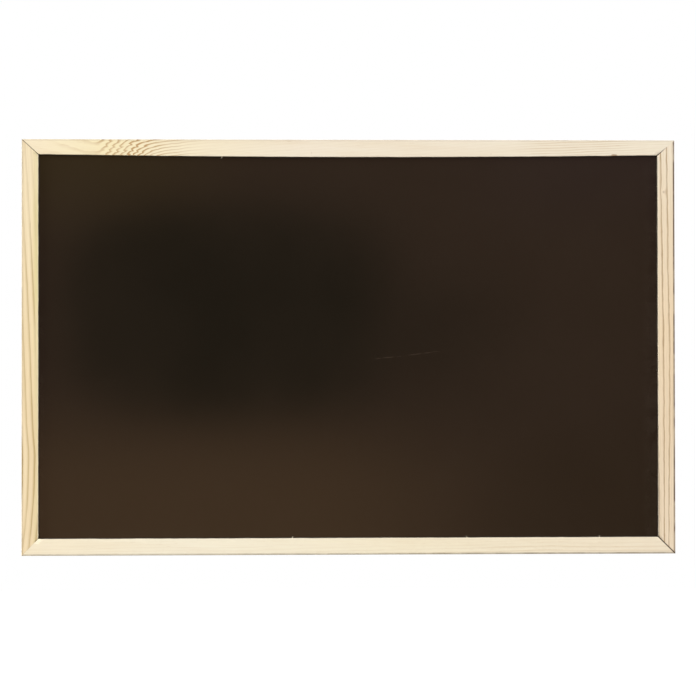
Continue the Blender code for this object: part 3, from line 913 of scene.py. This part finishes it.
def batten(name, side, length, place, turn, finish, crown=0.0, fibres=()):
    """One side of the frame, planed by hand: its edges wander and its sight edge may bow."""
    bar = rebated_bar("pine_" + name, side, length)
    lip_middle = -PLANED[side] * (LAND_SHARE + 1) / 2
    run = length / 2 - max(PLANED[neighbour] for neighbour in NEIGHBOURS[side])
    arris_end = FRONT_Y + OUTER_ARRIS[side] * 0.9

    def bowed(co):
        return max(1 - (co.x / run) ** 2, 0) if co.z < lip_middle else 0

    def on_sight_edge(co):
        return 1.0 if co.z < lip_middle and abs(co.x) < run else 0

    def on_outer_arris(co):
        return 1.0 if FRONT_Y + NEAR < co.y < arris_end and abs(co.x) < run else 0

    if crown:
        bow = group(bar, "bow", bowed)
        apply(bar, "DISPLACE", direction="Z", strength=-crown, mid_level=0.0, vertex_group=bow)
    sight = group(bar, "sight", on_sight_edge)
    apply(bar, "DISPLACE", texture=EDGE_CLOUDS, direction="Z", strength=EDGE_WANDER, vertex_group=sight)
    apply(
        bar,
        "DISPLACE",
        texture=ARRIS_CLOUDS,
        strength=ARRIS_WEAR,
        mid_level=ARRIS_WEAR_LEVEL,
        vertex_group=group(bar, "arris", on_outer_arris),
    )
    put(bar, place, (0, turn, 0))
    for fibre in fibres:
        torn_fibre(bar, *fibre)
    for neighbour in NEIGHBOURS[side]:
        rail, stile = sorted((side, neighbour), key=("top", "bottom", "left", "right").index)
        cut(bar, nail_slots(rail, stile))
    done(bar, finish(), "board", "pine", name, smooth_to=BATTEN_SMOOTH_TO)


batten(
    "top_rail",
    "top",
    BOARD_WIDTH,
    (0, 0, TOP_Z),
    0,
    top_rail_pine,
    crown=TOP_SIGHT_CROWN,
    fibres=TOP_FIBRES,
)
batten(
    "bottom_rail",
    "bottom",
    BOARD_WIDTH,
    (0, 0, BOTTOM_Z),
    math.pi,
    bottom_rail_pine,
    fibres=BOTTOM_FIBRES,
)
batten("left_stile", "left", BOARD_HEIGHT, (-HALF_WIDTH, 0, MIDDLE_Z), -math.pi / 2, left_stile_pine)
batten("right_stile", "right", BOARD_HEIGHT, (HALF_WIDTH, 0, MIDDLE_Z), math.pi / 2, right_stile_pine)

# Panel
PANEL_WIDTH = 0.6078
PANEL_HEIGHT = 0.3778
SHEET_FRONT_Y = -0.0142
SHEET_THICKNESS = 0.0008
SHEET_WAVE = 0.00012
SHEET_RIM = 0.0001
BACKING_BACK_Y = -0.0104
BACKING_THICKNESS = 0.0027
BACKING_WAVE = 0.0003
BACKING_RIM = 0.0004
PANEL_CELL = 0.008
PANEL_CLOUDS = clouds("panel_wander", 0.13)


def panel(name, face_y, outward, thickness, wave, rim):
    """A thin board whose face, at face_y and looking outward, isn't quite flat."""
    board = begin(
        name,
        bpy.ops.mesh.primitive_grid_add,
        x_subdivisions=round(PANEL_WIDTH / PANEL_CELL),
        y_subdivisions=round(PANEL_HEIGHT / PANEL_CELL),
        size=1,
        location=(0, face_y, MIDDLE_Z),
        rotation=(-outward * math.pi / 2, 0, 0),
        scale=(PANEL_WIDTH, PANEL_HEIGHT, 1),
    )
    apply(board, "DISPLACE", texture=PANEL_CLOUDS, direction="Y", strength=wave)
    apply(board, "SOLIDIFY", thickness=thickness, offset=-1.0)
    apply(board, "BEVEL", width=rim, segments=2, limit_method="ANGLE", angle_limit=math.radians(60))
    return board


done(
    panel("chalk_sheet", SHEET_FRONT_Y, -1, SHEET_THICKNESS, SHEET_WAVE, SHEET_RIM),
    writing_surface(),
    "board",
    "chalk_black",
    "writing_sheet",
)
done(
    panel("hardboard_back", BACKING_BACK_Y, 1, BACKING_THICKNESS, BACKING_WAVE, BACKING_RIM),
    hardboard(),
    "board",
    "hardboard",
    "backing_board",
)

# Hangers
HANGER_X = 0.3082
PIVOT_Y = -0.00225
PIVOT_Z = -0.00915
WIRE = 0.0018
WIRE_SIDES = 20
RING_HALF = 0.0056
RING_CORNER = 0.0016
RING_SIDE = 0.0045
RING_LEAN = math.radians(5.967)
STRAP_ROUND = 0.00014
STRAP_SMOOTH_TO = 60
SCREW_SEAT = 0.0025
SCREW_DROP = 0.012
SCREW_LENGTH = 0.010
SCREW_CORE = 0.0009
SCREW_THREAD = 0.0013
SCREW_PITCH = 0.0012
SCREW_POINT = 0.0022
SCREW_HEAD = 0.0025
SCREW_HEAD_HEIGHT = 0.0014
SCREW_ROUND_OVER = SCREW_HEAD_HEIGHT * 0.75
SCREW_EDGE = 0.0001
SCREW_SIDES = 40
SCREW_SMOOTH_TO = 40
RECESS_SPAN = 0.0027
RECESS_SLOT = 0.0007
RECESS_DEPTH = 0.0009
RECESS_TAPER = 0.55
SIDES = (("left", -1), ("right", 1))


def arc(middle, radius, begin_angle, end_angle, steps):
    """Points on an arc, by its angles in degrees."""
    angles = [math.radians(begin_angle + (end_angle - begin_angle) * i / steps) for i in range(steps + 1)]
    return [(middle[0] + radius * math.cos(a), middle[1] + radius * math.sin(a)) for a in angles]


def turned(name, profile, sides):
    """A profile of (radius, height) points spun round Z."""
    made = begin(name, bpy.ops.mesh.primitive_plane_add, size=0.001)
    with editing(made):
        bpy.ops.mesh.merge(type="CENTER")
        bpy.ops.transform.translate(value=(profile[0][0], 0, profile[0][1]))
        for (radius, level), (next_radius, next_level) in zip(profile, profile[1:]):
            step = (next_radius - radius, 0, next_level - level)
            bpy.ops.mesh.extrude_region_move(TRANSFORM_OT_translate={"value": step})
        bpy.ops.mesh.select_all(action="SELECT")
        bpy.ops.mesh.spin(steps=sides, angle=2 * math.pi, center=(0, 0, 0), axis=(0, 0, 1))
        bpy.ops.mesh.select_all(action="SELECT")
        bpy.ops.mesh.remove_doubles(threshold=MERGE_WITHIN)
        bpy.ops.mesh.normals_make_consistent(inside=False)
    return made


def ring_wire():
    """A D of round wire, its straight bar along X at the origin."""
    bar, rise = RING_HALF - RING_CORNER, RING_SIDE - RING_CORNER
    wire = begin(
        "ring_wire",
        bpy.ops.mesh.primitive_circle_add,
        vertices=WIRE_SIDES,
        radius=WIRE / 2,
        rotation=(0, math.pi / 2, 0),
    )

    def straight(x, z):
        bpy.ops.mesh.extrude_region_move(TRANSFORM_OT_translate={"value": (x, 0, z)})

    def bend(x, z, degrees, steps):
        bpy.ops.mesh.spin(steps=steps, angle=math.radians(degrees), center=(x, 0, z), axis=(0, 1, 0))

    with editing(wire):
        straight(bar, 0)
        bend(bar, RING_CORNER, 90, 8)
        straight(0, rise)
        bend(0, RING_SIDE, 180, 36)
        straight(0, -rise)
        bend(-bar, RING_CORNER, 90, 8)
        straight(bar, 0)
        bpy.ops.mesh.select_all(action="SELECT")
        bpy.ops.mesh.remove_doubles(threshold=MERGE_WITHIN)
        bpy.ops.mesh.normals_make_consistent(inside=False)
    return wire


def thread():
    """The ridge that winds up the screw's shank."""
    ridge = begin(
        "screw_thread",
        bpy.ops.mesh.primitive_circle_add,
        vertices=3,
        radius=(SCREW_THREAD - SCREW_CORE) / 1.4,
        rotation=(math.pi / 2, 0, -math.pi / 2),
        location=(SCREW_CORE + (SCREW_THREAD - SCREW_CORE) / 3, 0, SCREW_POINT - SCREW_LENGTH),
    )
    apply(
        ridge,
        "SCREW",
        axis="Z",
        screw_offset=SCREW_PITCH,
        iterations=round((SCREW_LENGTH - SCREW_POINT) / SCREW_PITCH) - 1,
        steps=SCREW_SIDES,
        render_steps=SCREW_SIDES,
    )
    with editing(ridge):
        bpy.ops.mesh.fill_holes(sides=0)
        bpy.ops.mesh.normals_make_consistent(inside=False)
    return ridge


def recess(turn):
    """One tapered bar of the cross that a driver fits."""
    arm = begin(
        "recess",
        bpy.ops.mesh.primitive_cube_add,
        size=1,
        location=(0, 0, SCREW_HEAD_HEIGHT),
        rotation=(0, 0, turn),
        scale=(RECESS_SPAN, RECESS_SLOT, 2 * RECESS_DEPTH),
    )
    with editing(arm):
        pick(arm, "FACE", lambda face: face.normal.z < -0.9)
        bpy.ops.transform.resize(value=(RECESS_TAPER, RECESS_TAPER, 1))
    return arm


def pan_head_screw():
    """A pan-head wood screw along Z, its head's underside at z = 0."""
    dome_middle = (SCREW_HEAD - SCREW_ROUND_OVER, SCREW_HEAD_HEIGHT - SCREW_ROUND_OVER)
    dome = arc(dome_middle, SCREW_ROUND_OVER, 0, 75, 8)
    shank = [
        (0, -SCREW_LENGTH),
        (SCREW_CORE * 0.5, -SCREW_LENGTH + SCREW_POINT * 0.6),
        (SCREW_CORE, -SCREW_LENGTH + SCREW_POINT),
        (SCREW_CORE, -SCREW_EDGE),
        (SCREW_CORE + SCREW_EDGE, 0),
    ]
    rim = [(SCREW_HEAD - SCREW_EDGE, 0), (SCREW_HEAD, SCREW_EDGE)]
    screw = turned("hanger_screw", [*shank, *rim, *dome, (0, SCREW_HEAD_HEIGHT)], SCREW_SIDES)
    cut(screw, [recess(0), recess(math.pi / 2)])
    ridge = thread()
    bpy.ops.object.select_all(action="DESELECT")
    ridge.select_set(True)
    screw.select_set(True)
    bpy.context.view_layer.objects.active = screw
    bpy.ops.object.join()
    return screw


def hangers():
    """A strap, its swinging ring and its screw behind each stile."""
    zinc = zinc_plate()
    wire, screw = ring_wire(), pan_head_screw()
    for side, sign in SIDES:
        ring = copied(wire, f"d_ring_{side}")
        put(ring, (sign * HANGER_X, PIVOT_Y, PIVOT_Z), (RING_LEAN, 0, 0))
        done(ring, zinc, f"{side}_ring", "zinc_plate", f"hanger_ring_{side}")
        held = copied(screw, f"pan_head_screw_{side}")
        seat = (sign * HANGER_X, BACK_Y + SCREW_SEAT, PIVOT_Z - SCREW_DROP)
        put(held, seat, (-math.pi / 2, 0, 0))
        done(held, zinc, "board", "zinc_plate", f"hanger_screw_{side}", smooth_to=SCREW_SMOOTH_TO)
        strap = copied(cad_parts[f"hanger_strap_{side}"], f"folded_strap_{side}")
        with editing(strap):
            bpy.ops.mesh.remove_doubles(threshold=MERGE_WITHIN)
            bpy.ops.mesh.dissolve_limited(angle_limit=math.radians(1))
        apply(
            strap,
            "BEVEL",
            width=STRAP_ROUND,
            segments=2,
            limit_method="ANGLE",
            angle_limit=math.radians(50),
        )
        done(strap, zinc, "board", "zinc_plate", f"hanger_strap_{side}", smooth_to=STRAP_SMOOTH_TO)
    bpy.data.objects.remove(wire)
    bpy.data.objects.remove(screw)


hangers()

# Wall pads
PAD_X = 0.30975
PAD_Z = -0.35315
PAD_BASE = 0.0045
PAD_FACE = 0.0039
PAD_THICKNESS = 0.0042
PAD_ROUND = 0.0008
PAD_FOOT_EDGE = 0.0002
PAD_FOOT_HEIGHT = 0.0008
PAD_DIMPLE = 0.0018
PAD_DIMPLE_DEPTH = 0.0004
PAD_SIDES = 48
PAD_SMOOTH_TO = 40


def wall_pads():
    """Low rubber stops, round at the rim, with a moulding dimple in the middle."""
    rubber = pale_rubber()
    rim = arc((PAD_FACE - PAD_ROUND, PAD_THICKNESS - PAD_ROUND), PAD_ROUND, 5, 90, 8)
    foot = [
        (0, 0),
        (PAD_BASE - PAD_FOOT_EDGE, 0),
        (PAD_BASE, PAD_FOOT_EDGE),
        (PAD_BASE, PAD_FOOT_HEIGHT),
    ]
    dimple = [
        (PAD_DIMPLE, PAD_THICKNESS),
        (PAD_DIMPLE * 0.8, PAD_THICKNESS - PAD_DIMPLE_DEPTH * 0.7),
        (PAD_DIMPLE * 0.4, PAD_THICKNESS - PAD_DIMPLE_DEPTH),
        (0, PAD_THICKNESS - PAD_DIMPLE_DEPTH),
    ]
    pad = turned("wall_pad", [*foot, *rim, *dimple], PAD_SIDES)
    for side, sign in SIDES:
        stop = copied(pad, f"rubber_stop_{side}")
        put(stop, (sign * PAD_X, -PAD_THICKNESS, PAD_Z), (-math.pi / 2, 0, 0))
        done(stop, rubber, "board", "pad_rubber", f"wall_pad_{side}", smooth_to=PAD_SMOOTH_TO)
    bpy.data.objects.remove(pad)


wall_pads()

# Framer's points and V-nails keep their CAD shape
steel = steel_strip()
for node_name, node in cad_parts.items():
    if node_name.startswith(("panel_point", "mitre_nail")):
        node.data.materials[0] = steel

# Stage: pale floor, white surroundings, soft light from the front
FLOOR_Z = -1.25
FLOOR_SIZE = 14.0
FLOOR_GREY = (0.35, 0.35, 0.35)
FLOOR_SHADOWED = (0.42, 0.42, 0.42)
FLOOR_GLOW = 0.93
WHITE = (1, 1, 1)
SOFT_LIGHT_FROM = Vector((0, -0.8, 0.6)).normalized()
SOFT_LIGHT_ROUND = 0.10
SOFT_LIGHT_FRONT = 0.38
LAMP_SIZE = 1.4

# The room as the board mirrors it: a warm wall, a brighter band low on the left, a dark patch
ROOM_RADIUS = 1.0
ROOM_HEIGHT = 1.9
ROOM_WALL = (0.41, 0.225, 0.15)
ROOM_HIGH_LEFT = (0.54, 0.33, 0.12)
ROOM_HIGH_RIGHT = (0.42, 0.235, 0.215)
ROOM_LOW_RIGHT = (0.37, 0.195, 0.105)
ROOM_LEFT = -0.34, -0.08
ROOM_RIGHT = 0.11, 0.36
ROOM_HIGH = -0.04, 0.11
ROOM_LOW = -0.38, -0.23
ROOM_BAND = (0.89, 0.49, 0.245)
ROOM_BAND_TOP = -0.376, -0.218
ROOM_BAND_SINKS = -0.13, 0.26
ROOM_BAND_DROP = 0.035
ROOM_BAND_FADES = -0.04, 0.38
ROOM_PATCH = (0.02, 0.02, 0.015)
ROOM_PATCH_X = -0.150
ROOM_PATCH_Z = -0.115
ROOM_PATCH_WIDE = 0.250
ROOM_PATCH_HIGH = 0.167
ROOM_PATCH_SOFTENS = -0.06, 0.10
ROOM_TAIL_X = 0.140
ROOM_TAIL_Z = -0.140
ROOM_TAIL_WIDE = 0.125
ROOM_TAIL_HIGH = 0.085
ROOM_TAIL_SHARE = 0.55


def pale_floor():
    """White to the camera, and a pale grey that still takes a shadow."""
    floor = begin("floor", bpy.ops.mesh.primitive_plane_add, size=FLOOR_SIZE, location=(0, 0, FLOOR_Z))
    pale = Finish("pale_floor")
    pale.set(base_color=FLOOR_GREY, roughness=0.9)
    shadowed = pale.node("ShaderNodeBsdfDiffuse", {}, {"Color": FLOOR_SHADOWED})
    glow = pale.node("ShaderNodeEmission", {}, {"Color": WHITE, "Strength": FLOOR_GLOW})
    shown = pale.node("ShaderNodeAddShader", {}, {0: shadowed, 1: glow})
    whole = Value(pale, pale.shader.outputs[0])
    pale.surface(pale.node("ShaderNodeMixShader", {}, {0: pale.seen_straight(), 1: whole, 2: shown}))
    floor.data.materials.append(pale.material)


def studio_world():
    """Soft light that comes mostly from the front, round a white background."""
    world = bpy.data.worlds.new("studio")
    world.use_nodes = True
    bpy.context.scene.world = world
    sky = Nodes(world.node_tree)
    background = sky.tree.nodes["Background"]
    facing = sky.node(
        "ShaderNodeVectorMath",
        {"operation": "DOT_PRODUCT"},
        {0: sky.place("Generated"), 1: SOFT_LIGHT_FROM},
        "Value",
    )
    light = facing.math("MAXIMUM", 0.0) * SOFT_LIGHT_FRONT + SOFT_LIGHT_ROUND
    shown = sky.seen_straight()
    sky.plug(background.inputs["Color"], WHITE)
    sky.plug(background.inputs["Strength"], shown + light * (1 - shown))


def dim_room():
    """A curved wall behind the camera that only mirrors show."""
    room = begin(
        "dim_room",
        bpy.ops.mesh.primitive_cylinder_add,
        vertices=96,
        radius=ROOM_RADIUS,
        depth=ROOM_HEIGHT,
        end_fill_type="NOTHING",
        location=(0, 0, MIDDLE_Z),
    )
    with editing(room):
        bpy.ops.mesh.bisect(plane_co=(0, 0, 0), plane_no=(0, 1, 0), clear_outer=True)
    walls = Finish("dim_walls")
    x, _, z = walls.axes(walls.place())
    off_x = ((x - ROOM_PATCH_X) / ROOM_PATCH_WIDE).math("ABSOLUTE")
    off_z = ((z - ROOM_PATCH_Z) / ROOM_PATCH_HIGH).math("ABSOLUTE")
    softer = walls.step(x, *ROOM_PATCH_SOFTENS, 1.0, 0.55)
    off = ((off_x**3.0 + off_z**3.0) ** (1 / 3) - 0.96) * softer
    patch = walls.step(off, -0.20, 0.20, 1.0, 0.0)
    off_x, off_z = (x - ROOM_TAIL_X) / ROOM_TAIL_WIDE, (z - ROOM_TAIL_Z) / ROOM_TAIL_HIGH
    tail = ((off_x * off_x + off_z * off_z) * -1.0).math("EXPONENT") * ROOM_TAIL_SHARE
    right, left = walls.step(x, *ROOM_RIGHT), walls.step(x, *ROOM_LEFT, 1.0, 0.0)
    high, low = walls.step(z, *ROOM_HIGH), walls.step(z, *ROOM_LOW, 1.0, 0.0)
    sloping = z + walls.step(x, *ROOM_BAND_SINKS, 0.0, ROOM_BAND_DROP)
    band = walls.step(sloping, *ROOM_BAND_TOP, 1.0, 0.0)
    band = band * walls.step(x, *ROOM_BAND_FADES, 1.0, 0.0)
    colour = ROOM_WALL
    for share, tint in (
        (right * high, ROOM_HIGH_RIGHT),
        (right * low, ROOM_LOW_RIGHT),
        (left * high, ROOM_HIGH_LEFT),
        (band, ROOM_BAND),
        (patch.math("MAXIMUM", tail), ROOM_PATCH),
    ):
        colour = walls.mix(share, colour, tint)
    walls.surface(walls.node("ShaderNodeEmission", {}, {"Color": colour}))
    room.data.materials.append(walls.material)
    room.visible_camera = False
    room.visible_diffuse = False
    room.visible_transmission = False
    room.visible_shadow = False


def soft_box(name, place, watts):
    """A square lamp that faces the middle of the board."""
    data = bpy.data.lights.new(name, "AREA")
    data.size = LAMP_SIZE
    data.energy = watts
    made = bpy.data.objects.new(name, data)
    made.location = place
    made.rotation_euler = (Vector((0, 0, MIDDLE_Z)) - Vector(place)).to_track_quat("-Z", "Y").to_euler()
    bpy.context.scene.collection.objects.link(made)


pale_floor()
studio_world()
dim_room()
soft_box("left_lamp", (-2.65, -1.15, MIDDLE_Z + 0.75), watts=81)
soft_box("right_lamp", (2.65, -1.15, MIDDLE_Z + 0.70), watts=66)
soft_box("back_lamp", (0.5, 2.2, MIDDLE_Z + 2.0), watts=95)

# Camera, as the photograph was taken
CAMERA_DISTANCE = 1.8
CAMERA_PLACE = (-0.0488, FRONT_Y - CAMERA_DISTANCE, -0.1983)
CAMERA_YAW = math.radians(1.497)
CAMERA_PITCH = math.radians(0.579)
CAMERA_ROLL = math.radians(0.068)
CAMERA_LENS = 96.65
SENSOR = 36.0
data = bpy.data.cameras.new("camera")
data.sensor_width = SENSOR
data.lens = CAMERA_LENS
camera = bpy.data.objects.new("camera", data)
camera.location = CAMERA_PLACE
camera.rotation_euler = (math.pi / 2 + CAMERA_PITCH, CAMERA_ROLL, -CAMERA_YAW)
bpy.context.scene.collection.objects.link(camera)
bpy.context.scene.camera = camera
bpy.context.scene.view_settings.view_transform = "Standard"
